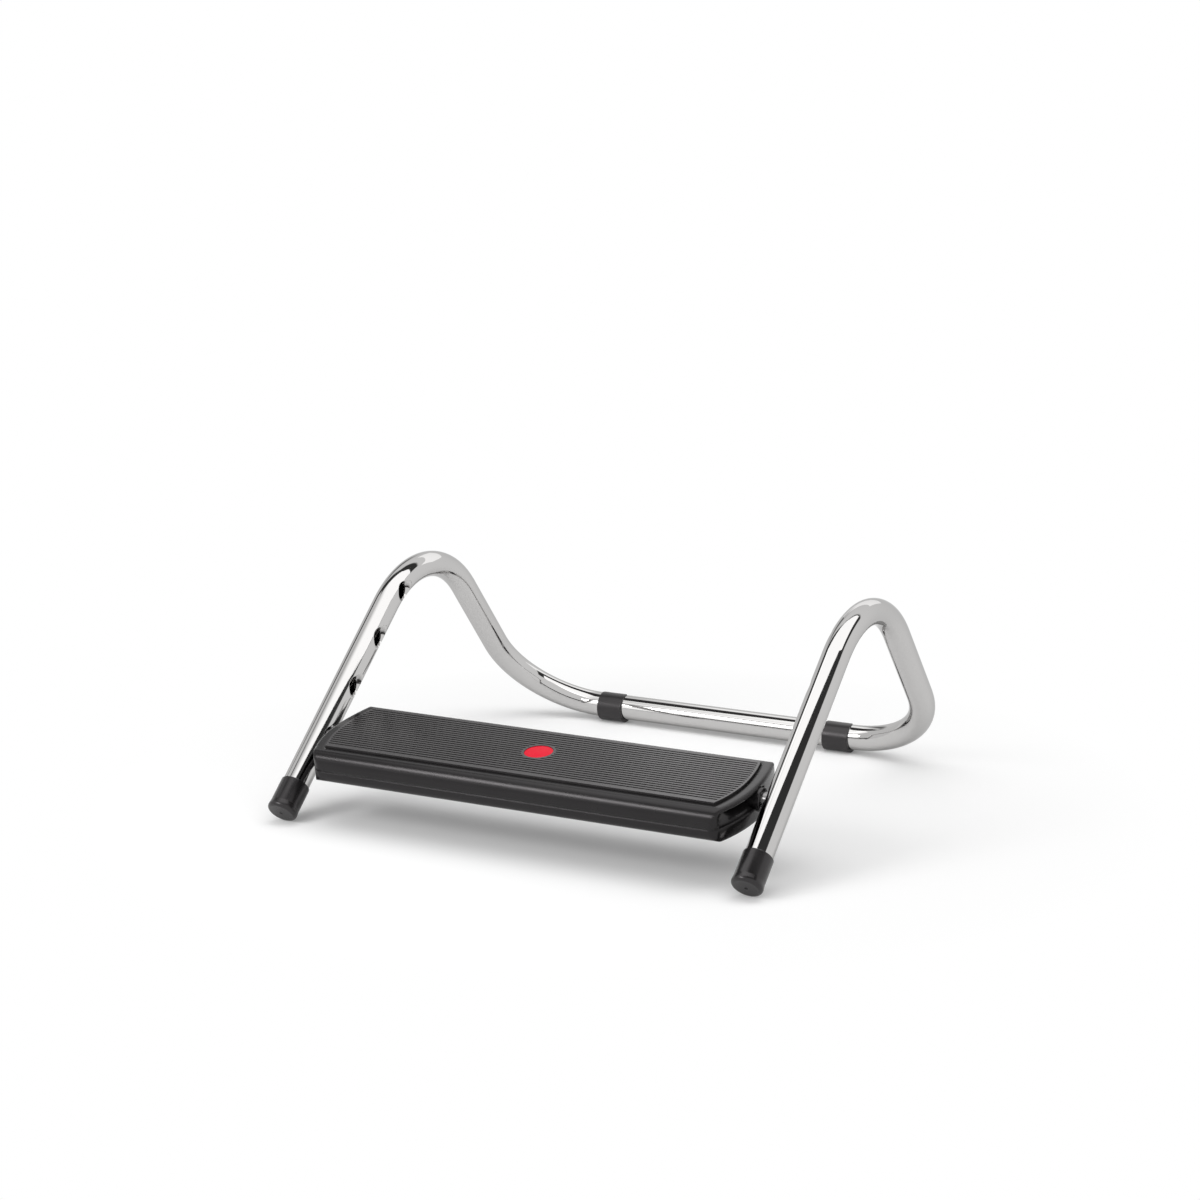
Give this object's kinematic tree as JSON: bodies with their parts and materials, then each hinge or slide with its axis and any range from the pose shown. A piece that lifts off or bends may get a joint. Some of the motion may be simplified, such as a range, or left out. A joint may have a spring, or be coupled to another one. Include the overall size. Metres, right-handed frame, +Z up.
{
  "type": "footrest",
  "caption": "Tilting footrest: a bent chrome tube frame with pressed height holes carries a black ribbed platform that rocks on sprung pins.",
  "frame": {"origin": "the middle of the footprint at floor height", "axes": "+X to the right along the crossbar, +Y from the front feet to the crossbar, +Z up"},
  "size_m": [0.4914, 0.475, 0.2043],
  "materials": {
    "chrome_tube": "mirror-bright chrome plating on steel tube",
    "foot_rubber": "satin black",
    "glide_plastic": "satin black",
    "deck_plastic": "semi-gloss black moulding",
    "tread_rubber": "finely ribbed, satin black",
    "disc_plastic": "plain red, satin",
    "bush_plastic": "satin black",
    "pin_steel": "bright zinc",
    "spring_steel": "bright",
    "fastener_steel": "bright zinc"
  },
  "bodies": {
    "frame": {"frame_tube": "chrome_tube", "foot_cap_right": "foot_rubber", "foot_cap_left": "foot_rubber", "rear_glide_right": "glide_plastic", "rear_glide_left": "glide_plastic"},
    "deck": {"deck_cover": "deck_plastic", "deck_base": "deck_plastic", "tread_mat": "tread_rubber", "deck_disc": "disc_plastic", "pivot_bush_right": "bush_plastic", "pivot_bush_left": "bush_plastic", "deck_screws": "fastener_steel", "pin_spring_right": "spring_steel", "pin_spring_left": "spring_steel"},
    "pin_right": {"pivot_pin_right": "pin_steel", "pin_ring_right": "spring_steel", "spring_washer_right": "fastener_steel", "finger_pull_right": "bush_plastic", "pull_cross_pin_right": "fastener_steel"},
    "pin_left": {"pivot_pin_left": "pin_steel", "pin_ring_left": "spring_steel", "spring_washer_left": "fastener_steel", "finger_pull_left": "bush_plastic", "pull_cross_pin_left": "fastener_steel"}
  },
  "joints": [
    {"name": "deck_tilt", "type": "hinge", "parent": "frame", "child": "deck", "pos_m": [0, -0.1627, 0.06657], "axis": [1, 0, 0], "range_deg": [-40, 20]},
    {"name": "pin_right_retract", "type": "slide", "parent": "deck", "child": "pin_right", "axis": [-1, 0, 0], "range_m": [0, 0.0095], "stiffness_N_per_m": 600, "springref_m": -0.004, "deforming": ["pin_spring_right"]},
    {"name": "pin_left_retract", "type": "slide", "parent": "deck", "child": "pin_left", "axis": [1, 0, 0], "range_m": [0, 0.0095], "stiffness_N_per_m": 600, "springref_m": -0.004, "deforming": ["pin_spring_left"]}
  ]
}
